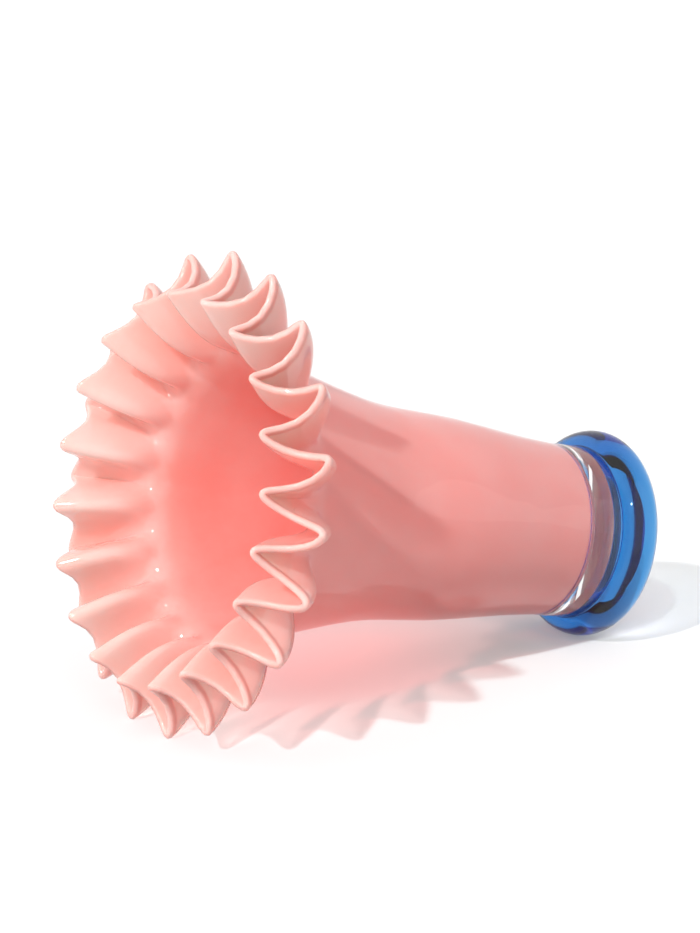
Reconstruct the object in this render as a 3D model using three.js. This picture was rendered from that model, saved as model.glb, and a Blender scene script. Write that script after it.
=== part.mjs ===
// A mouth-blown glass vase with a ruffled, flared mouth, in millimetres, +Z up.
// It has a pink cup inside a clear casing, a clear base under the cup and a blue ring for a foot.
// The origin is on the axis, in the plane of the foot's underside.
import * as THREE from "three";

// Foot: a ring of blue glass, round outside, with a narrow flat to stand on and a straight bore
const FOOT_RADIUS = 50;
const ROLL_THICKNESS = 20;
const COLLAR_TOP = 24.5;
const COLLAR_FILLET = 1;
const REST_WIDTH = 1.4;
const INNER_EDGE_RADIUS = 3.8;
const LEDGE_WIDTH = 5.7;
const LEDGE_RISE = 0.9;

// Clear base: a band above the foot, and a plug with an arched underside inside the foot's bore
const BASE_BAND_THICKNESS = 8.2;
const PLUG_DEPTH = 11.6;
const PLUG_ARCH = 7.1;

// Wall: the middle line is where the pink glass and the clear glass meet
const CUP_CORNER_RADIUS = 5;
const CUP_FLOOR_THICKNESS = 4;
const SEAT_LINE_RADIUS = 39.4;
const LOW_STRETCH = 21;
const LOW_LINE_RADIUS = 41.2;
const MIDDLE_LINE_RADIUS = 45.8;
const HIGH_LINE_RADIUS = 48.3;
const SHOULDER_STRETCH = 32;
const SHOULDER_LINE_RADIUS = 54.6;
const NECK_STRETCH = 31;
const THROAT_LINE_RADIUS = 62.4;
const FLARE_STRETCH = 38;
const RIM_HEIGHT = 240;
const RIM_LINE_RADIUS = 96.1;
const RIM_ANGLE = THREE.MathUtils.degToRad(42.2);

// Glass thickness, in the body and at the rim
const PINK_BODY_WALL = 2;
const CLEAR_BODY_WALL = 2.2;
const PINK_RIM_WALL = 1.7;
const CLEAR_RIM_WALL = 1.7;
const GAP = 0.3;

// Ruffle: its folds have pointed tips in front and behind, with scallops between them
const LOBES = 20;
const FOLD_HEIGHT = 28;
const FIRST_FOLD_ANGLE = THREE.MathUtils.degToRad(74.5);
const FOLD_START_SHARE = 0.2;
const FOLD_GROWTH = 2.4;
const SCALLOP_DEPTH = 5.6;
const FLANK_LEAN = 2.3;

// What hand work leaves: a slightly oval and slanted mouth, with folds that are unevenly spaced
const MOUTH_OVAL = 1.2;
const MOUTH_OVAL_ANGLE = THREE.MathUtils.degToRad(78);
const MOUTH_SLANT_HEIGHT = 5;
const MOUTH_SLANT_ANGLE = THREE.MathUtils.degToRad(173);
const FOLD_SWAY = THREE.MathUtils.degToRad(5);
const FOLD_SWAY_ANGLE = THREE.MathUtils.degToRad(-125);
const MOUTH_SHIFT_X = 0.19;
const MOUTH_SHIFT_Y = 0.68;

// How finely each surface is divided
const STEPS_PER_LOBE = 8;
const BODY_STEPS_PER_LOBE = 2;
const FINE_STEPS = LOBES * STEPS_PER_LOBE;
const COARSE_STEPS = LOBES * BODY_STEPS_PER_LOBE;
const BODY_ROWS = 7;
const FOLD_ROWS = 5;
const CORNER_ROWS = 3;
const LIP_ROWS = 2;
const ROLL_STEPS = 8;
const FILLET_STEPS = 3;
const INNER_EDGE_STEPS = 3;
const ARCH_STEPS = 4;
const NEARBY = 1e-4;

// Sizes that follow from the ones above
const INNER_EDGE_CENTRE = FOOT_RADIUS - ROLL_THICKNESS / 2 - REST_WIDTH;
const BORE_RADIUS = INNER_EDGE_CENTRE - INNER_EDGE_RADIUS - LEDGE_WIDTH;
const BORE_BOTTOM = INNER_EDGE_RADIUS + LEDGE_RISE;
const CUP_BOTTOM = COLLAR_TOP + GAP + BASE_BAND_THICKNESS + GAP;
const SEAT = CUP_BOTTOM + CUP_CORNER_RADIUS;
const THROAT = RIM_HEIGHT - FLARE_STRETCH;
const SHOULDER = THROAT - NECK_STRETCH;
const HIGH = SHOULDER - SHOULDER_STRETCH;
const LOW = SEAT + LOW_STRETCH;
const MIDDLE = (LOW + HIGH) / 2;
const BODY_RADIUS = SEAT_LINE_RADIUS + CLEAR_BODY_WALL;

// The wall's middle line, as radius and height
const bodyLine = new THREE.SplineCurve([
  new THREE.Vector2(SEAT_LINE_RADIUS, SEAT),
  new THREE.Vector2(LOW_LINE_RADIUS, LOW),
  new THREE.Vector2(MIDDLE_LINE_RADIUS, MIDDLE),
  new THREE.Vector2(HIGH_LINE_RADIUS, HIGH),
  new THREE.Vector2(SHOULDER_LINE_RADIUS, SHOULDER),
  new THREE.Vector2(THROAT_LINE_RADIUS, THROAT),
]);

function makeFlareLine() {
  const throat = new THREE.Vector2(THROAT_LINE_RADIUS, THROAT);
  const rim = new THREE.Vector2(RIM_LINE_RADIUS, RIM_HEIGHT);
  const handle = throat.distanceTo(rim) / 3;
  const leaving = bodyLine.getTangent(1).multiplyScalar(handle);
  const arriving = new THREE.Vector2(Math.sin(RIM_ANGLE), Math.cos(RIM_ANGLE)).multiplyScalar(handle);
  return new THREE.CubicBezierCurve(throat, throat.clone().add(leaving), rim.clone().sub(arriving), rim);
}

const flareLine = makeFlareLine();
const FLARE_CHORD = flareLine.v0.distanceTo(flareLine.v3);

// A place on the wall is a turn round the axis and a rise, which is a share of the body's line and,
// above the throat, of the flare's line: 0 at the seat, 1 at the throat, 2 at the rim.
const THROAT_SHARE = 1;
const RIM_SHARE = 2;

function linePoint(rise) {
  if (rise <= THROAT_SHARE) {
    return bodyLine.getPoint(rise);
  }
  return flareLine.getPoint(Math.min(rise, RIM_SHARE) - THROAT_SHARE);
}

// The share of the hand-made unevenness at a height: none low down, all of it at the rim.
function unevenShare(height) {
  return THREE.MathUtils.smoothstep(height, HIGH, RIM_HEIGHT);
}

// The fold's wave is -1 where the rim leans in and forward, and +1 where it leans out and back.
function foldWave(turn) {
  return -Math.cos(LOBES * (turn - FIRST_FOLD_ANGLE));
}

// 0 at a tip, in front or behind, and 1 on the flank half way between them.
function flankShare(turn) {
  return Math.sin(LOBES * (turn - FIRST_FOLD_ANGLE)) ** 2;
}

// Between the tips the rim lies lower on the wall: a rise there is a share of the shorter wall.
function cutRise(turn, rise) {
  const cut = (SCALLOP_DEPTH / FLARE_CHORD) * flankShare(turn);
  return rise - Math.max(0, rise - THROAT_SHARE) * cut;
}

// The folds start at a share of the flare, grow quickly and level off towards the rim.
function foldShare(rise) {
  const share = Math.max(0, (rise - THROAT_SHARE - FOLD_START_SHARE) / (1 - FOLD_START_SHARE));
  return 1 - (1 - share) ** FOLD_GROWTH;
}

function middlePoint(turn, rise) {
  const place = cutRise(turn, rise);
  const line = linePoint(place);
  const uneven = unevenShare(line.y);
  const wave = (foldShare(place) * foldWave(turn)) / 2;
  const lean = (foldShare(place) * flankShare(turn) * FLANK_LEAN) / line.x;
  const angle = turn + uneven * FOLD_SWAY * Math.cos(turn - FOLD_SWAY_ANGLE) - lean;
  const oval = MOUTH_OVAL * Math.cos(2 * (turn - MOUTH_OVAL_ANGLE));
  const slant = MOUTH_SLANT_HEIGHT * Math.cos(turn - MOUTH_SLANT_ANGLE);
  const radius = line.x + uneven * oval + wave * FOLD_HEIGHT * Math.cos(RIM_ANGLE);
  const height = line.y + uneven * slant - wave * FOLD_HEIGHT * Math.sin(RIM_ANGLE);
  return new THREE.Vector3(
    radius * Math.cos(angle) + uneven * MOUTH_SHIFT_X,
    radius * Math.sin(angle) + uneven * MOUTH_SHIFT_Y,
    height,
  );
}

// The directions round and up the wall, and its outward normal, found from nearby points.
function wallFrame(turn, rise) {
  const before = middlePoint(turn - NEARBY, rise);
  const round = middlePoint(turn + NEARBY, rise).sub(before).normalize();
  const below = middlePoint(turn, Math.max(rise - NEARBY, 0));
  const up = middlePoint(turn, Math.min(rise + NEARBY, RIM_SHARE)).sub(below).normalize();
  const out = new THREE.Vector3().crossVectors(round, up).normalize();
  return { up: new THREE.Vector3().crossVectors(out, round), out };
}

// A ring of points on the wall, set off from the middle line along the normal and past the rim.
function wallRing(rise, offset, reach, steps) {
  const points = [];
  for (let i = 0; i < steps; i += 1) {
    const turn = FIRST_FOLD_ANGLE + (2 * Math.PI * i) / steps;
    const { up, out } = wallFrame(turn, rise);
    points.push(middlePoint(turn, rise).addScaledVector(out, offset).addScaledVector(up, reach));
  }
  return { points, level: rise + reach };
}

// A level ring round the axis.
function levelRing(radius, height, level) {
  const points = [];
  for (let i = 0; i < COARSE_STEPS; i += 1) {
    const turn = FIRST_FOLD_ANGLE + (2 * Math.PI * i) / COARSE_STEPS;
    points.push(new THREE.Vector3(radius * Math.cos(turn), radius * Math.sin(turn), height));
  }
  return { points, level };
}

// Rings up one side of the wall, from above the seat to the rim: finer ones where it is folded.
function wallSide(bodyOffset, rimOffset) {
  const rings = [];
  for (let row = 1; row <= BODY_ROWS; row += 1) {
    rings.push(wallRing(row / BODY_ROWS, bodyOffset, 0, COARSE_STEPS));
  }
  for (let row = 0; row <= FOLD_ROWS; row += 1) {
    const share = THREE.MathUtils.lerp(FOLD_START_SHARE, 1, row / FOLD_ROWS);
    const offset = THREE.MathUtils.lerp(bodyOffset, rimOffset, share);
    rings.push(wallRing(THROAT_SHARE + share, offset, 0, FINE_STEPS));
  }
  return rings;
}

// The rounded lip from one offset at the rim to another, on a half circle over the full thickness.
function lipRings(fromOffset, toOffset) {
  const centre = (CLEAR_RIM_WALL - PINK_RIM_WALL) / 2;
  const lipRadius = (CLEAR_RIM_WALL + PINK_RIM_WALL) / 2;
  const startAngle = Math.acos(THREE.MathUtils.clamp((fromOffset - centre) / lipRadius, -1, 1));
  const endAngle = Math.acos(THREE.MathUtils.clamp((toOffset - centre) / lipRadius, -1, 1));
  const rings = [];
  for (let row = 1; row <= LIP_ROWS; row += 1) {
    const angle = THREE.MathUtils.lerp(startAngle, endAngle, row / LIP_ROWS);
    const offset = centre + lipRadius * Math.cos(angle);
    rings.push(wallRing(RIM_SHARE, offset, lipRadius * Math.sin(angle), FINE_STEPS));
  }
  return rings;
}

// Faces between two rings, whose numbers of points are alike or one a multiple of the other.
// The cut across a four-sided face depends only on its place, so nested walls are cut alike.
function joinRings(a, b, faces) {
  const fine = a.points.length >= b.points.length ? a : b;
  const coarse = fine === a ? b : a;
  const ratio = fine.points.length / coarse.points.length;
  const add = (p, q, r) => faces.push(fine === a ? [p, q, r] : [p, r, q]);
  for (let i = 0; i < coarse.points.length; i += 1) {
    const start = coarse.start + i;
    const end = coarse.start + ((i + 1) % coarse.points.length);
    const at = (k) => fine.start + ((i * ratio + k) % fine.points.length);
    if (ratio === 1) {
      const rising = b.level > a.level;
      const leaning = i % STEPS_PER_LOBE < STEPS_PER_LOBE / 2;
      if (rising === leaning) {
        add(at(0), at(1), end);
        add(at(0), end, start);
      } else {
        add(at(0), at(1), start);
        add(at(1), end, start);
      }
    } else {
      for (let k = 0; k < ratio; k += 1) {
        add(at(k), at(k + 1), k < ratio / 2 ? start : end);
      }
      add(at(ratio / 2), end, start);
    }
  }
}

// One closed surface over rings in order. It ends in two points on the axis, or runs round to its start.
function skinOver(rings, firstPole, lastPole) {
  const positions = [];
  const faces = [];
  rings.forEach((ring) => {
    ring.start = positions.length / 3;
    ring.points.forEach((point) => positions.push(point.x, point.y, point.z));
  });
  rings.slice(1).forEach((ring, i) => joinRings(rings[i], ring, faces));
  if (firstPole === undefined) {
    joinRings(rings[rings.length - 1], rings[0], faces);
  } else {
    const first = rings[0];
    const last = rings[rings.length - 1];
    const pole = positions.length / 3;
    positions.push(0, 0, firstPole, 0, 0, lastPole);
    first.points.forEach((point, i) => {
      faces.push([pole, first.start + ((i + 1) % first.points.length), first.start + i]);
    });
    last.points.forEach((point, i) => {
      faces.push([pole + 1, last.start + i, last.start + ((i + 1) % last.points.length)]);
    });
  }
  const geometry = new THREE.BufferGeometry();
  geometry.setAttribute("position", new THREE.Float32BufferAttribute(positions, 3));
  geometry.setIndex(faces.flat());
  geometry.computeVertexNormals();
  return geometry;
}

// Rings round the cup's lower corner, from its flat bottom to the side.
function cornerRings(sideRadius, side, cornerRadius) {
  const rings = [];
  for (let row = 0; row <= CORNER_ROWS; row += 1) {
    const angle = (Math.PI / 2) * (row / CORNER_ROWS);
    const radius = sideRadius - cornerRadius * (1 - Math.sin(angle));
    rings.push(levelRing(radius, side - cornerRadius * Math.cos(angle), (row - CORNER_ROWS) / CORNER_ROWS));
  }
  return rings;
}

// The pink cup: an opaque layer with a rounded bottom and the ruffled mouth.
function pinkCupGeometry() {
  const half = GAP / 2;
  const outside = [
    ...cornerRings(SEAT_LINE_RADIUS - half, SEAT, CUP_CORNER_RADIUS),
    ...wallSide(-half, -half),
  ];
  const insideRadius = SEAT_LINE_RADIUS - PINK_BODY_WALL;
  const insideCorner = CUP_CORNER_RADIUS - (CUP_FLOOR_THICKNESS - PINK_BODY_WALL);
  const floor = CUP_BOTTOM + CUP_FLOOR_THICKNESS;
  const inside = [
    ...cornerRings(insideRadius, floor + insideCorner, insideCorner),
    ...wallSide(-PINK_BODY_WALL, -PINK_RIM_WALL),
  ];
  inside.reverse();
  const lip = lipRings(-half, -PINK_RIM_WALL).slice(0, -1);
  return skinOver([...outside, ...lip, ...inside], CUP_BOTTOM, floor);
}

// The clear casing: a skin over the cup's side, from the seat to the rounded lip.
function clearCasingGeometry() {
  const half = GAP / 2;
  const outside = [
    levelRing(BODY_RADIUS, SEAT, 0),
    ...wallSide(CLEAR_BODY_WALL, CLEAR_RIM_WALL),
  ];
  const inside = [
    levelRing(SEAT_LINE_RADIUS + half, SEAT, 0),
    ...wallSide(half, half),
  ];
  inside.reverse();
  const lip = lipRings(CLEAR_RIM_WALL, half).slice(0, -1);
  return skinOver([...outside, ...lip, ...inside]);
}

// A solid of revolution about Z from a profile of radius and height, which starts and ends on the axis
// or comes back to its start.
function turned(profile) {
  const geometry = new THREE.LatheGeometry(profile, COARSE_STEPS, 0, Math.PI * 2);
  return geometry.rotateX(Math.PI / 2).rotateZ(FIRST_FOLD_ANGLE + Math.PI / 2);
}

function arcPoints(centreX, centreY, radius, from, to, steps) {
  const points = [];
  for (let i = 0; i <= steps; i += 1) {
    const angle = THREE.MathUtils.lerp(from, to, i / steps);
    points.push(new THREE.Vector2(centreX + radius * Math.cos(angle), centreY + radius * Math.sin(angle)));
  }
  return points;
}

// The clear base: thick glass dished to the cup's bottom, as wide as the casing above it, whose plug
// fills the upper part of the foot's bore.
function clearBaseGeometry() {
  const bandBottom = COLLAR_TOP + GAP;
  const plugRadius = BORE_RADIUS - GAP;
  const underside = [];
  for (let i = 0; i <= ARCH_STEPS; i += 1) {
    const share = i / ARCH_STEPS;
    const height = COLLAR_TOP - PLUG_DEPTH + PLUG_ARCH * (1 - share ** 2);
    underside.push(new THREE.Vector2(plugRadius * share, height));
  }
  const cornerCentre = SEAT_LINE_RADIUS - GAP / 2 - CUP_CORNER_RADIUS;
  const dish = arcPoints(cornerCentre, SEAT, CUP_CORNER_RADIUS + GAP, 0, -Math.PI / 2, CORNER_ROWS);
  return turned([
    ...underside,
    new THREE.Vector2(plugRadius, bandBottom),
    new THREE.Vector2(BODY_RADIUS, bandBottom),
    new THREE.Vector2(BODY_RADIUS, SEAT - GAP),
    new THREE.Vector2(dish[0].x, SEAT - GAP),
    ...dish.slice(1),
    new THREE.Vector2(0, CUP_BOTTOM - GAP),
  ]);
}

// The blue foot: a thick round-edged ring with a collar up to the base. Inside the flat that the vase
// stands on, a rounded edge and a narrow ledge lead to the bore.
function blueFootGeometry() {
  const rollRadius = ROLL_THICKNESS / 2;
  const rollCentre = FOOT_RADIUS - rollRadius;
  const filletCentre = BODY_RADIUS + COLLAR_FILLET;
  const rise = Math.acos((filletCentre - rollCentre) / (rollRadius + COLLAR_FILLET));
  const filletHeight = rollRadius + (rollRadius + COLLAR_FILLET) * Math.sin(rise);
  const down = -Math.PI / 2;
  const edge = INNER_EDGE_RADIUS;
  return turned([
    new THREE.Vector2(BORE_RADIUS, COLLAR_TOP),
    new THREE.Vector2(BORE_RADIUS, BORE_BOTTOM),
    ...arcPoints(INNER_EDGE_CENTRE, edge, edge, -Math.PI, down, INNER_EDGE_STEPS),
    ...arcPoints(rollCentre, rollRadius, rollRadius, down, rise, ROLL_STEPS),
    ...arcPoints(filletCentre, filletHeight, COLLAR_FILLET, rise + Math.PI, Math.PI, FILLET_STEPS).slice(1),
    new THREE.Vector2(BODY_RADIUS, COLLAR_TOP),
    new THREE.Vector2(BORE_RADIUS, COLLAR_TOP),
  ]);
}

// Materials
function pinkGlass() {
  return new THREE.MeshStandardMaterial({ color: 0xf5a49b, roughness: 0.08, metalness: 0 });
}

function clearGlass() {
  return new THREE.MeshStandardMaterial({
    color: 0xf2f6f6,
    roughness: 0.03,
    metalness: 0,
    transparent: true,
    opacity: 0.3,
  });
}

function blueGlass() {
  return new THREE.MeshStandardMaterial({
    color: 0x1769b5,
    roughness: 0.03,
    metalness: 0,
    transparent: true,
    opacity: 0.75,
  });
}

function piece(name, geometry, material) {
  const mesh = new THREE.Mesh(geometry, material);
  mesh.name = name;
  return mesh;
}

const vase = new THREE.Group();
vase.add(piece("pink_cup", pinkCupGeometry(), pinkGlass()));
vase.add(piece("clear_casing", clearCasingGeometry(), clearGlass()));
vase.add(piece("clear_base", clearBaseGeometry(), clearGlass()));
vase.add(piece("blue_foot", blueFootGeometry(), blueGlass()));

export default vase;
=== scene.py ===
"""A mouth-blown glass vase with a ruffled mouth, lying on a white floor.

The pink cup, the clear glass over it and the blue foot are made as fine meshes from the same
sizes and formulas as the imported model, in its frame: +Z runs along the vase's axis from the
foot to the mouth. The floor is a plane that touches the foot and the ruffle.
"""
import math

import bmesh
import bpy
import numpy as np
from mathutils import Matrix, Vector


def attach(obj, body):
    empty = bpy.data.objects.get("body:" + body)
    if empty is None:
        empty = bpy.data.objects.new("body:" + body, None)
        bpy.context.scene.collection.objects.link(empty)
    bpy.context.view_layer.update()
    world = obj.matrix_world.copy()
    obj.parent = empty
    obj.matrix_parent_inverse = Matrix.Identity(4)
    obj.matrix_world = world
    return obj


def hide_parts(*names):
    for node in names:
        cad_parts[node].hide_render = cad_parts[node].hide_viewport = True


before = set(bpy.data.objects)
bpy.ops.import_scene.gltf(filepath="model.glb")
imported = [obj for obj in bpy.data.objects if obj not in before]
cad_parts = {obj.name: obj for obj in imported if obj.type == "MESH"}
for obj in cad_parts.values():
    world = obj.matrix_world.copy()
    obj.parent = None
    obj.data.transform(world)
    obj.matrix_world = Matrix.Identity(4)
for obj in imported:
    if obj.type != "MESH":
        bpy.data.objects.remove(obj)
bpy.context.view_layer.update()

MM = 0.001

# Foot, in millimetres like all the sizes below: a ring, round outside, with a narrow flat to stand on
FOOT_RADIUS = 50
ROLL_THICKNESS = 20
COLLAR_TOP = 24.5
COLLAR_FILLET = 1
REST_WIDTH = 1.4
INNER_EDGE_RADIUS = 3.8
LEDGE_WIDTH = 5.7
LEDGE_RISE = 0.9

# Clear base: a band above the foot, and a plug with an arched underside inside the foot's bore
BASE_BAND_THICKNESS = 8.2
PLUG_DEPTH = 11.6
PLUG_ARCH = 7.1

# Wall: the middle line is where the pink glass and the clear glass meet
CUP_CORNER_RADIUS = 5
CUP_FLOOR_THICKNESS = 4
SEAT_LINE_RADIUS = 39.4
LOW_STRETCH = 21
LOW_LINE_RADIUS = 41.2
MIDDLE_LINE_RADIUS = 45.8
HIGH_LINE_RADIUS = 48.3
SHOULDER_STRETCH = 32
SHOULDER_LINE_RADIUS = 54.6
NECK_STRETCH = 31
THROAT_LINE_RADIUS = 62.4
FLARE_STRETCH = 38
RIM_HEIGHT = 240
RIM_LINE_RADIUS = 96.1
RIM_ANGLE = math.radians(42.2)

# Glass thickness, in the body and at the rim
PINK_BODY_WALL = 2
CLEAR_BODY_WALL = 2.2
PINK_RIM_WALL = 1.7
CLEAR_RIM_WALL = 1.7
GAP = 0.3

# At the lip the pink layer swells outwards, so that only a thin clear skin covers it
PINK_LIP_SWELL = 1.15
PINK_LIP_SHARE = 0.07

# Ruffle: its folds have pointed tips in front and behind, with scallops between them
LOBES = 20
FOLD_HEIGHT = 28
FIRST_FOLD_ANGLE = math.radians(74.5)
FOLD_START_SHARE = 0.2
FOLD_START_ROUNDING = 0.07
FOLD_GROWTH = 2.4
SCALLOP_DEPTH = 5.6
FLANK_LEAN = 2.3

# What hand work leaves: a slightly oval and slanted mouth, with folds that are unevenly spaced
MOUTH_OVAL = 1.2
MOUTH_OVAL_ANGLE = math.radians(78)
MOUTH_SLANT_HEIGHT = 5
MOUTH_SLANT_ANGLE = math.radians(173)
FOLD_SWAY = math.radians(5)
FOLD_SWAY_ANGLE = math.radians(-125)
MOUTH_SHIFT_X = 0.19
MOUTH_SHIFT_Y = 0.68

# How finely each surface is divided
STEPS_PER_LOBE = 20
STEPS = LOBES * STEPS_PER_LOBE
TIP_CROWDING = 0.55
BODY_ROWS = 36
FLARE_ROWS = 44
CORNER_ROWS = 8
LIP_ROWS = 10
ROLL_ROWS = 36
FILLET_ROWS = 6
INNER_EDGE_ROWS = 12
ARCH_ROWS = 12
NEARBY = 1e-4

# Sizes that follow from the ones above
INNER_EDGE_CENTRE = FOOT_RADIUS - ROLL_THICKNESS / 2 - REST_WIDTH
BORE_RADIUS = INNER_EDGE_CENTRE - INNER_EDGE_RADIUS - LEDGE_WIDTH
BORE_BOTTOM = INNER_EDGE_RADIUS + LEDGE_RISE
CUP_BOTTOM = COLLAR_TOP + GAP + BASE_BAND_THICKNESS + GAP
SEAT = CUP_BOTTOM + CUP_CORNER_RADIUS
THROAT = RIM_HEIGHT - FLARE_STRETCH
SHOULDER = THROAT - NECK_STRETCH
HIGH = SHOULDER - SHOULDER_STRETCH
LOW = SEAT + LOW_STRETCH
MIDDLE = (LOW + HIGH) / 2
BODY_RADIUS = SEAT_LINE_RADIUS + CLEAR_BODY_WALL

# The hidden face of the clear glass lies inside the pink, so that no air lies between them, and it
# stops some rows below the rim, where the lip begins
OVERLAP = 0.5
LIP_START_ROWS = 2

# The innermost ring of the dish in the clear base, and the corners that stay sharp on turned pieces
DISH_CENTRE_RADIUS = 1
SHARP_CORNER = math.radians(30)

# The side of the pink glass, as a value stored on its points
GLASS_SIDE = "glass_side"
OUTSIDE = 0.0
INSIDE = 1.0
AT_LIP = 2.0

# Camera: the photograph is 700 by 933 pixels
IMAGE_HEIGHT = 933
FOCAL_PIXELS = 2800
SENSOR = 36
CAMERA_PLACE = Vector((1084.8, -41.7, 843.3))
CAMERA_FORWARD = Vector((-0.8410, 0.0479, -0.5389))
CAMERA_UP = Vector((0, 0.9961, 0.0886))
CAMERA_REACH = 100

# Floor and light
FLOOR_UP_GUESS = Vector((0.225, 0.939, 0.260))
FLOOR_REACH = 9000
LEAST_CONTACT_AREA = 500
KEY_DIRECTION = Vector((0.398, 0.418, 0.816))
KEY_STRENGTH = 2.5
KEY_ANGLE = math.radians(2)
FILL_DIRECTION = Vector((0.85, 0.1, -0.05))
FILL_STRENGTH = 0.6
FILL_ANGLE = math.radians(100)
WORLD_LIGHT = 0.54
FLOOR_COLOUR = 0.75
FLOOR_SEEN_SHARE = 0.76
FLOOR_SEEN_GLOW = 0.22
WHITE = (1, 1, 1, 1)
BEFORE_FIRST_SCATTER = 0.5


# The wall, by a turn round the axis and a rise: 0 at the seat, 1 at the throat, 2 at the rim

BODY_LINE = np.array([
    (SEAT_LINE_RADIUS, SEAT),
    (LOW_LINE_RADIUS, LOW),
    (MIDDLE_LINE_RADIUS, MIDDLE),
    (HIGH_LINE_RADIUS, HIGH),
    (SHOULDER_LINE_RADIUS, SHOULDER),
    (THROAT_LINE_RADIUS, THROAT),
])


def body_line(share):
    """Radius and height on the smooth curve through the body's points."""
    last = len(BODY_LINE) - 1
    place = np.clip(share, 0, 1) * last
    i = np.minimum(place.astype(int), last - 1)
    t = (place - i)[..., None]
    before = BODY_LINE[np.maximum(i - 1, 0)]
    start = BODY_LINE[i]
    end = BODY_LINE[i + 1]
    after = BODY_LINE[np.minimum(i + 2, last)]
    leaving = (end - before) / 2
    arriving = (after - start) / 2
    cubic = (2 * start - 2 * end + leaving + arriving) * t**3
    square = (3 * end - 3 * start - 2 * leaving - arriving) * t**2
    return cubic + square + leaving * t + start


def flare_line(share):
    """Radius and height on the curve from the throat to the rim."""
    throat = BODY_LINE[-1]
    rim = np.array([RIM_LINE_RADIUS, RIM_HEIGHT])
    handle = np.linalg.norm(rim - throat) / 3
    slope = throat - BODY_LINE[-2]
    leaving = throat + slope / np.linalg.norm(slope) * handle
    arriving = rim - np.array([math.sin(RIM_ANGLE), math.cos(RIM_ANGLE)]) * handle
    t = np.clip(share, 0, 1)[..., None]
    low = (1 - t) ** 3 * throat + 3 * (1 - t) ** 2 * t * leaving
    return low + 3 * (1 - t) * t**2 * arriving + t**3 * rim


def smooth_step(value, low, high):
    t = np.clip((value - low) / (high - low), 0, 1)
    return t * t * (3 - 2 * t)


def fold_wave(turn):
    """-1 where the rim leans in and forward, and +1 where it leans out and back."""
    return -np.cos(LOBES * (turn - FIRST_FOLD_ANGLE))


def flank_share(turn):
    """0 at a tip, in front or behind, and 1 on the flank half way between them."""
    return np.sin(LOBES * (turn - FIRST_FOLD_ANGLE)) ** 2


def cut_rise(turn, rise):
    """Between the tips the rim lies lower on the wall: a rise there is a share of the shorter wall."""
    chord = math.hypot(RIM_LINE_RADIUS - THROAT_LINE_RADIUS, FLARE_STRETCH)
    return rise - np.maximum(0, rise - 1) * SCALLOP_DEPTH / chord * flank_share(turn)


def fold_share(rise):
    """The folds' depth: none up to a share of the flare, then quickly more, levelling off at the rim."""
    share = (rise - 1 - FOLD_START_SHARE) / (1 - FOLD_START_SHARE)
    eased = (share + np.sqrt(share**2 + FOLD_START_ROUNDING**2)) / 2
    return 1 - np.clip(1 - eased, 0, 1) ** FOLD_GROWTH


def middle_point(turn, rise):
    """The place where the two layers meet."""
    place = cut_rise(turn, rise)
    line = np.where((place <= 1)[..., None], body_line(place), flare_line(place - 1))
    uneven = smooth_step(line[..., 1], HIGH, RIM_HEIGHT)
    wave = fold_share(place) * fold_wave(turn) / 2
    lean = fold_share(place) * flank_share(turn) * FLANK_LEAN / line[..., 0]
    angle = turn + uneven * FOLD_SWAY * np.cos(turn - FOLD_SWAY_ANGLE) - lean
    oval = MOUTH_OVAL * np.cos(2 * (turn - MOUTH_OVAL_ANGLE))
    slant = MOUTH_SLANT_HEIGHT * np.cos(turn - MOUTH_SLANT_ANGLE)
    radius = line[..., 0] + uneven * oval + wave * FOLD_HEIGHT * math.cos(RIM_ANGLE)
    height = line[..., 1] + uneven * slant - wave * FOLD_HEIGHT * math.sin(RIM_ANGLE)
    x = radius * np.cos(angle) + uneven * MOUTH_SHIFT_X
    y = radius * np.sin(angle) + uneven * MOUTH_SHIFT_Y
    return np.stack([x, y, height], -1)


def unit(vectors):
    return vectors / np.linalg.norm(vectors, axis=-1, keepdims=True)


def turns():
    """Directions round the axis, closer together at the tips of the folds."""
    steps = 2 * math.pi * np.arange(STEPS) / STEPS
    return FIRST_FOLD_ANGLE + steps - TIP_CROWDING / (2 * LOBES) * np.sin(2 * LOBES * steps)


def wall_ring(rise, offset, reach=0.0):
    """A ring set off from the middle line along the wall's normal, and past it up the wall."""
    turn = turns()
    rises = np.full_like(turn, rise)
    low = np.maximum(rises - NEARBY, 0)
    high = np.minimum(rises + NEARBY, 2)
    across = unit(middle_point(turn + NEARBY, rises) - middle_point(turn - NEARBY, rises))
    up = unit(middle_point(turn, high) - middle_point(turn, low))
    out = unit(np.cross(across, up))
    return middle_point(turn, rises) + offset * out + reach * np.cross(out, across)


def level_ring(radius, height):
    turn = turns()
    return np.stack([radius * np.cos(turn), radius * np.sin(turn), np.full_like(turn, height)], -1)


def wall_rings(body_offset, rim_offset, lip_swell=0.0):
    """Rings up one face of the wall, from just above the seat to the rim."""
    rings = [wall_ring(row / BODY_ROWS, body_offset) for row in range(1, BODY_ROWS + 1)]
    for row in range(1, FLARE_ROWS + 1):
        share = row / FLARE_ROWS
        swell = lip_swell * float(smooth_step(share, 1 - PINK_LIP_SHARE, 1))
        rings.append(wall_ring(1 + share, body_offset + (rim_offset - body_offset) * share + swell))
    return rings


def lip_rings(start, end):
    """A rounded edge from one offset at the rim to another, on a half circle."""
    centre = (start + end) / 2
    radius = (start - end) / 2
    rings = []
    for row in range(1, LIP_ROWS):
        angle = math.pi * row / LIP_ROWS
        rings.append(wall_ring(2, centre + radius * math.cos(angle), radius * math.sin(angle)))
    return rings


def corner_rings(side_radius, side, corner_radius):
    """Rings round a lower corner, from the flat bottom to the side."""
    rings = []
    for row in range(CORNER_ROWS + 1):
        angle = math.pi / 2 * row / CORNER_ROWS
        radius = side_radius - corner_radius * (1 - math.sin(angle))
        rings.append(level_ring(radius, side - corner_radius * math.cos(angle)))
    return rings


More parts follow.
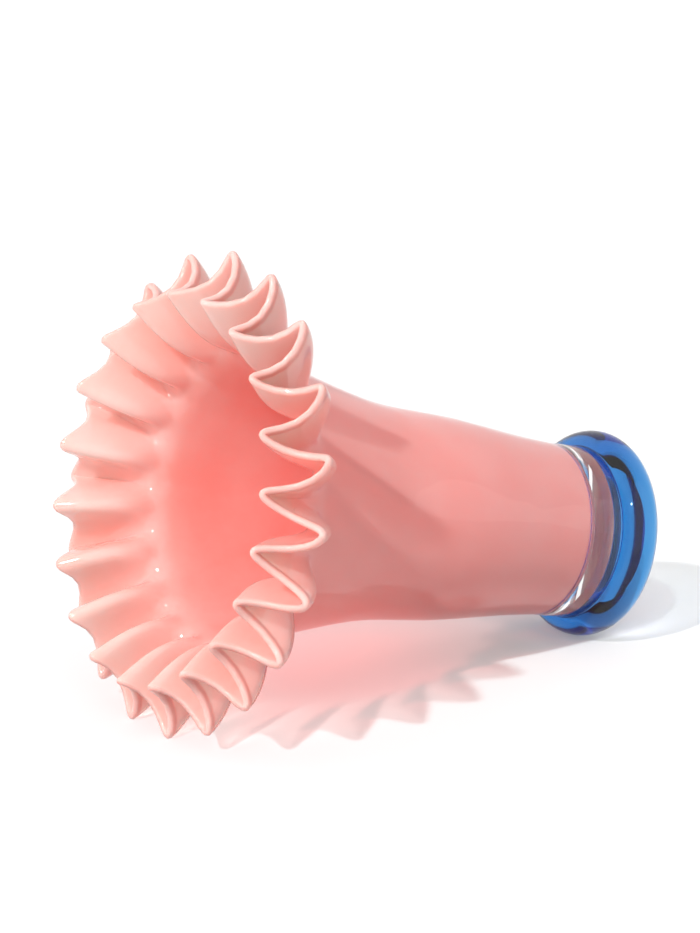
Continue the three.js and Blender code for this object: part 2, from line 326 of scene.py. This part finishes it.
def arc(centre_x, centre_y, radius, start, end, rows):
    """Points of radius and height along an arc."""
    angles = np.linspace(start, end, rows + 1)
    return [(centre_x + radius * math.cos(a), centre_y + radius * math.sin(a)) for a in angles]


# Meshes

def skin(name, rings, round_trip=False):
    """One closed surface over rings in order, capped at both ends or run round to its start."""
    points = np.concatenate(rings) * MM
    count = len(rings[0])
    mesh = bpy.data.meshes.new(name)
    faces = []
    pairs = [(i, i + 1) for i in range(len(rings) - 1)]
    if round_trip:
        pairs.append((len(rings) - 1, 0))
    for a, b in pairs:
        for i in range(count):
            j = (i + 1) % count
            faces.append((a * count + i, a * count + j, b * count + j, b * count + i))
    if not round_trip:
        faces.append(tuple(range(count))[::-1])
        faces.append(tuple(range((len(rings) - 1) * count, len(rings) * count)))
    mesh.from_pydata(points.tolist(), [], faces)
    mesh.validate()
    mesh.shade_smooth()
    piece = bpy.data.objects.new(name, mesh)
    bpy.context.scene.collection.objects.link(piece)
    return piece


def pink_cup():
    """The opaque layer, with a rounded bottom and a swollen edge inside the clear lip."""
    outside = [
        *corner_rings(SEAT_LINE_RADIUS, SEAT, CUP_CORNER_RADIUS),
        *wall_rings(0, 0, PINK_LIP_SWELL),
    ]
    inside_corner = CUP_CORNER_RADIUS - (CUP_FLOOR_THICKNESS - PINK_BODY_WALL)
    floor = CUP_BOTTOM + CUP_FLOOR_THICKNESS
    inside = [
        *corner_rings(SEAT_LINE_RADIUS - PINK_BODY_WALL, floor + inside_corner, inside_corner),
        *wall_rings(-PINK_BODY_WALL, -PINK_RIM_WALL),
    ]
    edge = lip_rings(PINK_LIP_SWELL, -PINK_RIM_WALL)
    cup = skin("pink_cup_glass", [*outside, *edge, *inside[::-1]])
    swollen = round(FLARE_ROWS * PINK_LIP_SHARE)
    rings = [len(outside) - swollen, swollen + len(edge), len(inside)]
    sides = np.repeat([OUTSIDE, AT_LIP, INSIDE], [count * STEPS for count in rings])
    cup.data.attributes.new(GLASS_SIDE, "FLOAT", "POINT").data.foreach_set("value", sides)
    return cup


def clear_casing():
    """The clear layer over the cup's side, drawn over the pink's edge at the lip."""
    outside = [level_ring(BODY_RADIUS, SEAT), *wall_rings(CLEAR_BODY_WALL, CLEAR_RIM_WALL)]
    hidden = [
        level_ring(SEAT_LINE_RADIUS - OVERLAP, SEAT),
        *wall_rings(-OVERLAP, -OVERLAP)[:-LIP_START_ROWS],
    ]
    lip = lip_rings(CLEAR_RIM_WALL, -PINK_RIM_WALL)
    return skin("clear_casing_glass", [*outside, *lip, *hidden[::-1]], round_trip=True)


def turned(name, profile, round_trip=False):
    """A solid of revolution, smooth apart from the corners of its profile."""
    piece = skin(name, [level_ring(radius, height) for radius, height in profile], round_trip)
    piece.data.set_sharp_from_angle(angle=SHARP_CORNER)
    return piece


def clear_base():
    """Thick glass between the cup's bottom and the foot, with a plug inside the foot's bore."""
    band_bottom = COLLAR_TOP + GAP
    plug_radius = BORE_RADIUS - GAP
    underside = []
    for row in range(1, ARCH_ROWS + 1):
        share = row / ARCH_ROWS
        underside.append((plug_radius * share, COLLAR_TOP - PLUG_DEPTH + PLUG_ARCH * (1 - share**2)))
    corner = SEAT_LINE_RADIUS - CUP_CORNER_RADIUS
    dish = arc(corner, SEAT, CUP_CORNER_RADIUS - OVERLAP, 0, -math.pi / 2, CORNER_ROWS)
    return turned("clear_base_glass", [
        *underside,
        (plug_radius, band_bottom),
        (BODY_RADIUS, band_bottom),
        (BODY_RADIUS, SEAT - GAP),
        *dish,
        (DISH_CENTRE_RADIUS, CUP_BOTTOM + OVERLAP),
    ])


def blue_foot():
    """A thick round-edged ring with a collar up to the base, a flat to stand on and a bore."""
    roll_radius = ROLL_THICKNESS / 2
    roll_centre = FOOT_RADIUS - roll_radius
    fillet_centre = BODY_RADIUS + COLLAR_FILLET
    rise = math.acos((fillet_centre - roll_centre) / (roll_radius + COLLAR_FILLET))
    fillet_height = roll_radius + (roll_radius + COLLAR_FILLET) * math.sin(rise)
    down = -math.pi / 2
    edge = INNER_EDGE_RADIUS
    return turned("blue_foot_glass", [
        (BORE_RADIUS, BORE_BOTTOM),
        *arc(INNER_EDGE_CENTRE, edge, edge, -math.pi, down, INNER_EDGE_ROWS),
        *arc(roll_centre, roll_radius, roll_radius, down, rise, ROLL_ROWS),
        *arc(fillet_centre, fillet_height, COLLAR_FILLET, rise + math.pi, math.pi, FILLET_ROWS)[1:],
        (BODY_RADIUS, COLLAR_TOP),
        (BORE_RADIUS, COLLAR_TOP),
    ], round_trip=True)


# Materials

# Pink glass: the tones of its outside and its inside by their share of the height, and of its lip.
# They hold painted shade and light. The outside is darker than the inside as painted shade. The inside
# grows deeper and redder down in the cup as painted shade of the hollow. Both grow paler towards the
# tips, partly because the glass is thinner there and partly as painted light shining through it.
OUTER_TONES_AND_PAINTED_SHADE = [
    (0.0, (0.71, 0.33, 0.31)),
    (0.72, (0.77, 0.36, 0.33)),
    (1.0, (1.0, 0.69, 0.63)),
]
INNER_TONES_AND_PAINTED_SHADE = [
    (0.0, (1.0, 0.3, 0.28)),
    (0.7, (1.0, 0.37, 0.335)),
    (1.0, (1.0, 0.57, 0.515)),
]
# Painted shade: the lip is darker than the glass beside it, to hold down the light its rounded edge
# catches
LIP_PAINTED_SHADE_TONE = (0.92, 0.49, 0.445)

# What each kind of glass lets through to a shadow, and the blue glass's own colour
PINK_SHADOW_TONES = [
    (0.1, (0.5, 0.36, 0.34)),
    (0.7, (0.78, 0.24, 0.22)),
    (1.0, (0.8, 0.79, 0.77)),
]
CLEAR_SHADOW_TONE = (0.97, 0.98, 0.98, 1)
BLUE_SHADOW_TONE = (0.58, 0.59, 0.58, 1)
BLUE_TINT = (0.0, 0.62, 0.87, 1)
BLUE_DENSITY = 205

# Gloss, how far light spreads inside the pink glass, and how much its colour varies in soft clouds
GLASS_IOR = 1.5
PINK_ROUGHNESS = 0.06
PINK_SPREAD = (1.0, 0.65, 0.6)
PINK_SPREAD_SCALE = 0.006
CLOUD_SCALE = 22
CLOUD_DETAIL = 4
CLOUD_NOISE = (0.35, 0.65)
CLOUD_SATURATION = (0.94, 1.06)

# The faint waves of a blown surface: how fine they are, and their height in metres
PINK_WAVES = (30, 0.0004)
CLEAR_WAVES = (35, 0.0004)
BLUE_WAVES = (25, 0.0003)


def new_material(name):
    material = bpy.data.materials.new(name)
    material.use_nodes = True
    nodes = material.node_tree.nodes
    nodes.clear()
    output = nodes.new("ShaderNodeOutputMaterial")
    return material, nodes, material.node_tree.links, output


def noise(nodes, links, scale, detail):
    """Soft cloudy noise in the object's own space."""
    place = nodes.new("ShaderNodeTexCoord")
    texture = nodes.new("ShaderNodeTexNoise")
    texture.inputs["Scale"].default_value = scale
    texture.inputs["Detail"].default_value = detail
    links.new(place.outputs["Object"], texture.inputs["Vector"])
    return texture


def soft_waves(nodes, links, fineness, distance):
    """The faint unevenness of a blown surface."""
    waves = nodes.new("ShaderNodeBump")
    waves.inputs["Strength"].default_value = 1
    waves.inputs["Distance"].default_value = distance
    links.new(noise(nodes, links, fineness, 1).outputs["Fac"], waves.inputs["Height"])
    return waves.outputs["Normal"]


def by_height(nodes, links, colours):
    """A colour that changes from the foot's end to the tips of the ruffle, partly as the glass gets
    thinner; in the pink's tones it also carries painted shade and painted light.
    """
    place = nodes.new("ShaderNodeTexCoord")
    parts = nodes.new("ShaderNodeSeparateXYZ")
    share = nodes.new("ShaderNodeMapRange")
    share.inputs["From Min"].default_value = CUP_BOTTOM * MM
    share.inputs["From Max"].default_value = (RIM_HEIGHT + FOLD_HEIGHT / 2) * MM
    ramp = nodes.new("ShaderNodeValToRGB")
    ramp.color_ramp.interpolation = "EASE"
    stops = ramp.color_ramp.elements
    while len(stops) < len(colours):
        stops.new(1)
    for stop, (height, colour) in zip(stops, colours):
        stop.position = height
        stop.color = (*colour, 1)
    links.new(place.outputs["Object"], parts.inputs["Vector"])
    links.new(parts.outputs["Z"], share.inputs["Value"])
    links.new(share.outputs["Result"], ramp.inputs["Fac"])
    return ramp.outputs["Color"]


def pink_material():
    material, nodes, links, output = new_material("pink_opaline_glass")
    shader = nodes.new("ShaderNodeBsdfPrincipled")
    shader.inputs["Roughness"].default_value = PINK_ROUGHNESS
    shader.inputs["IOR"].default_value = GLASS_IOR
    shader.inputs["Subsurface Weight"].default_value = 1
    shader.inputs["Subsurface Radius"].default_value = PINK_SPREAD
    shader.inputs["Subsurface Scale"].default_value = PINK_SPREAD_SCALE
    side = nodes.new("ShaderNodeAttribute")
    side.attribute_name = GLASS_SIDE
    # The tone, with its painted shade and light, is the outside's or the inside's by the side stored on
    # the points, and the lip's painted shade at the lip
    tones_and_painted_shade = nodes.new("ShaderNodeMix")
    tones_and_painted_shade.data_type = "RGBA"
    links.new(side.outputs["Fac"], tones_and_painted_shade.inputs["Factor"])
    links.new(by_height(nodes, links, OUTER_TONES_AND_PAINTED_SHADE), tones_and_painted_shade.inputs["A"])
    links.new(by_height(nodes, links, INNER_TONES_AND_PAINTED_SHADE), tones_and_painted_shade.inputs["B"])
    at_lip = nodes.new("ShaderNodeMath")
    at_lip.operation = "SUBTRACT"
    at_lip.inputs[1].default_value = INSIDE
    links.new(side.outputs["Fac"], at_lip.inputs[0])
    lip = nodes.new("ShaderNodeMix")
    lip.data_type = "RGBA"
    links.new(at_lip.outputs["Value"], lip.inputs["Factor"])
    links.new(tones_and_painted_shade.outputs["Result"], lip.inputs["A"])
    lip.inputs["B"].default_value = (*LIP_PAINTED_SHADE_TONE, 1)
    cloud = nodes.new("ShaderNodeMapRange")
    cloud.inputs["From Min"].default_value, cloud.inputs["From Max"].default_value = CLOUD_NOISE
    cloud.inputs["To Min"].default_value, cloud.inputs["To Max"].default_value = CLOUD_SATURATION
    clouds = noise(nodes, links, CLOUD_SCALE, CLOUD_DETAIL)
    links.new(clouds.outputs["Fac"], cloud.inputs["Value"])
    cloudy = nodes.new("ShaderNodeHueSaturation")
    links.new(cloud.outputs["Result"], cloudy.inputs["Saturation"])
    links.new(lip.outputs["Result"], cloudy.inputs["Color"])
    links.new(cloudy.outputs["Color"], shader.inputs["Base Color"])
    links.new(soft_waves(nodes, links, *PINK_WAVES), shader.inputs["Normal"])
    straight = see_through(nodes, links, output, shader)
    links.new(by_height(nodes, links, PINK_SHADOW_TONES), straight.inputs["Color"])
    return material


def see_through(nodes, links, output, shader):
    """Light from the lamps passes the glass straight on, only tinted by the node that is given back."""
    path = nodes.new("ShaderNodeLightPath")
    straight = nodes.new("ShaderNodeBsdfTransparent")
    mix = nodes.new("ShaderNodeMixShader")
    links.new(path.outputs["Is Shadow Ray"], mix.inputs["Fac"])
    links.new(shader.outputs["BSDF"], mix.inputs[1])
    links.new(straight.outputs["BSDF"], mix.inputs[2])
    links.new(mix.outputs["Shader"], output.inputs["Surface"])
    return straight


def polished_glass(nodes, links, output, waves, shadow_tone):
    """Transparent glass with a wavy polished surface."""
    shader = nodes.new("ShaderNodeBsdfPrincipled")
    shader.inputs["Base Color"].default_value = WHITE
    shader.inputs["Transmission Weight"].default_value = 1
    shader.inputs["Roughness"].default_value = 0
    shader.inputs["IOR"].default_value = GLASS_IOR
    links.new(soft_waves(nodes, links, *waves), shader.inputs["Normal"])
    straight = see_through(nodes, links, output, shader)
    straight.inputs["Color"].default_value = shadow_tone


def clear_material():
    material, nodes, links, output = new_material("clear_glass")
    polished_glass(nodes, links, output, CLEAR_WAVES, CLEAR_SHADOW_TONE)
    return material


def blue_material():
    material, nodes, links, output = new_material("blue_glass")
    polished_glass(nodes, links, output, BLUE_WAVES, BLUE_SHADOW_TONE)
    tint = nodes.new("ShaderNodeVolumeAbsorption")
    tint.inputs["Color"].default_value = BLUE_TINT
    tint.inputs["Density"].default_value = BLUE_DENSITY
    path = nodes.new("ShaderNodeLightPath")
    mix = nodes.new("ShaderNodeMixShader")
    links.new(path.outputs["Is Shadow Ray"], mix.inputs["Fac"])
    links.new(tint.outputs["Volume"], mix.inputs[1])
    links.new(mix.outputs["Shader"], output.inputs["Volume"])
    return material


# Floor, light and camera

def contact_plane(pieces):
    """The upward normal and the height of the plane that the lying vase rests on.

    It is the face of the vase's convex hull that lies nearest to the guessed floor.
    """
    hull = bmesh.new()
    for piece in pieces:
        for vertex in piece.data.vertices:
            hull.verts.new(vertex.co / MM)
    made = bmesh.ops.convex_hull(hull, input=hull.verts)["geom"]
    sides = [face for face in made if isinstance(face, bmesh.types.BMFace)]
    wide = [face for face in sides if face.calc_area() > LEAST_CONTACT_AREA]
    lowest = min(wide, key=lambda face: face.normal.dot(FLOOR_UP_GUESS))
    up = -lowest.normal.normalized()
    height = lowest.verts[0].co.dot(up)
    hull.free()
    return up, height


def floor_material():
    """White floor: it lights the vase as a plain pale surface, and is seen as nearly pure white."""
    material, nodes, links, output = new_material("floor")
    plain = nodes.new("ShaderNodeBsdfDiffuse")
    plain.inputs["Color"].default_value = (FLOOR_COLOUR, FLOOR_COLOUR, FLOOR_COLOUR, 1)
    shade = nodes.new("ShaderNodeBsdfDiffuse")
    shade.inputs["Color"].default_value = (FLOOR_SEEN_SHARE, FLOOR_SEEN_SHARE, FLOOR_SEEN_SHARE, 1)
    glow = nodes.new("ShaderNodeEmission")
    glow.inputs["Strength"].default_value = FLOOR_SEEN_GLOW
    seen = nodes.new("ShaderNodeAddShader")
    links.new(shade.outputs["BSDF"], seen.inputs[0])
    links.new(glow.outputs["Emission"], seen.inputs[1])
    mix = nodes.new("ShaderNodeMixShader")
    links.new(seen_rays(nodes, links), mix.inputs["Fac"])
    links.new(plain.outputs["BSDF"], mix.inputs[1])
    links.new(seen.outputs["Shader"], mix.inputs[2])
    side = nodes.new("ShaderNodeNewGeometry")
    back = nodes.new("ShaderNodeBsdfTransparent")
    one_sided = nodes.new("ShaderNodeMixShader")
    links.new(side.outputs["Backfacing"], one_sided.inputs["Fac"])
    links.new(mix.outputs["Shader"], one_sided.inputs[1])
    links.new(back.outputs["BSDF"], one_sided.inputs[2])
    links.new(one_sided.outputs["Shader"], output.inputs["Surface"])
    return material


def seen_rays(nodes, links):
    """1 for rays that show the background: straight from the camera, mirrored or through glass.

    A ray that a matt surface has scattered shows nothing, so it is left to the plain light.
    """
    path = nodes.new("ShaderNodeLightPath")
    mirrored = nodes.new("ShaderNodeMath")
    mirrored.operation = "MAXIMUM"
    links.new(path.outputs["Is Glossy Ray"], mirrored.inputs[0])
    links.new(path.outputs["Is Transmission Ray"], mirrored.inputs[1])
    seen = nodes.new("ShaderNodeMath")
    seen.operation = "MAXIMUM"
    links.new(path.outputs["Is Camera Ray"], seen.inputs[0])
    links.new(mirrored.outputs["Value"], seen.inputs[1])
    unscattered = nodes.new("ShaderNodeMath")
    unscattered.operation = "LESS_THAN"
    unscattered.inputs[1].default_value = BEFORE_FIRST_SCATTER
    links.new(path.outputs["Diffuse Depth"], unscattered.inputs[0])
    both = nodes.new("ShaderNodeMath")
    both.operation = "MULTIPLY"
    links.new(seen.outputs["Value"], both.inputs[0])
    links.new(unscattered.outputs["Value"], both.inputs[1])
    return both.outputs["Value"]


def add_floor(up, height):
    mesh = bpy.data.meshes.new("floor")
    reach = FLOOR_REACH * MM
    corners = [(-reach, -reach, 0), (reach, -reach, 0), (reach, reach, 0), (-reach, reach, 0)]
    mesh.from_pydata(corners, [], [(0, 1, 2, 3)])
    floor = bpy.data.objects.new("floor", mesh)
    turn = up.to_track_quat("Z", "Y").to_matrix().to_4x4()
    floor.matrix_world = Matrix.Translation(up * height * MM) @ turn
    mesh.materials.append(floor_material())
    bpy.context.scene.collection.objects.link(floor)


def add_lamp(name, direction, strength, angle):
    """A far lamp: the key is small and casts the sharp shadows, the fill is wide and soft."""
    lamp = bpy.data.lights.new(name, "SUN")
    lamp.energy = strength
    lamp.angle = angle
    placed = bpy.data.objects.new(name, lamp)
    placed.rotation_euler = direction.to_track_quat("Z", "Y").to_euler()
    bpy.context.scene.collection.objects.link(placed)


def set_world():
    world = bpy.data.worlds.new("studio")
    bpy.context.scene.world = world
    world.use_nodes = True
    nodes = world.node_tree.nodes
    links = world.node_tree.links
    nodes.clear()
    output = nodes.new("ShaderNodeOutputWorld")
    light = nodes.new("ShaderNodeBackground")
    light.inputs["Strength"].default_value = WORLD_LIGHT
    white = nodes.new("ShaderNodeBackground")
    light.inputs["Color"].default_value = WHITE
    white.inputs["Color"].default_value = WHITE
    mix = nodes.new("ShaderNodeMixShader")
    links.new(seen_rays(nodes, links), mix.inputs["Fac"])
    links.new(light.outputs["Background"], mix.inputs[1])
    links.new(white.outputs["Background"], mix.inputs[2])
    links.new(mix.outputs["Shader"], output.inputs["Surface"])


def add_camera():
    data = bpy.data.cameras.new("camera")
    data.sensor_width = SENSOR
    data.lens = SENSOR * FOCAL_PIXELS / IMAGE_HEIGHT
    data.clip_end = CAMERA_REACH
    camera = bpy.data.objects.new("camera", data)
    back = -CAMERA_FORWARD.normalized()
    right = CAMERA_UP.cross(back).normalized()
    turn = Matrix((right, back.cross(right), back)).transposed()
    camera.matrix_world = Matrix.Translation(CAMERA_PLACE * MM) @ turn.to_4x4()
    bpy.context.scene.collection.objects.link(camera)
    bpy.context.scene.camera = camera


def dress(piece, material, node):
    piece.data.materials.append(material)
    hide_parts(node)
    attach(piece, "root")
    return piece


def main():
    clear = clear_material()
    pieces = [
        dress(pink_cup(), pink_material(), "pink_cup"),
        dress(clear_casing(), clear, "clear_casing"),
        dress(clear_base(), clear, "clear_base"),
        dress(blue_foot(), blue_material(), "blue_foot"),
    ]
    up, height = contact_plane(pieces)
    add_floor(up, height)
    add_lamp("key", KEY_DIRECTION, KEY_STRENGTH, KEY_ANGLE)
    add_lamp("fill", FILL_DIRECTION, FILL_STRENGTH, FILL_ANGLE)
    set_world()
    add_camera()
    bpy.context.scene.view_settings.view_transform = "Standard"


main()


def plain(box):
    return [list(map(float, corner)) for corner in box]


bpy.context.view_layer.update()
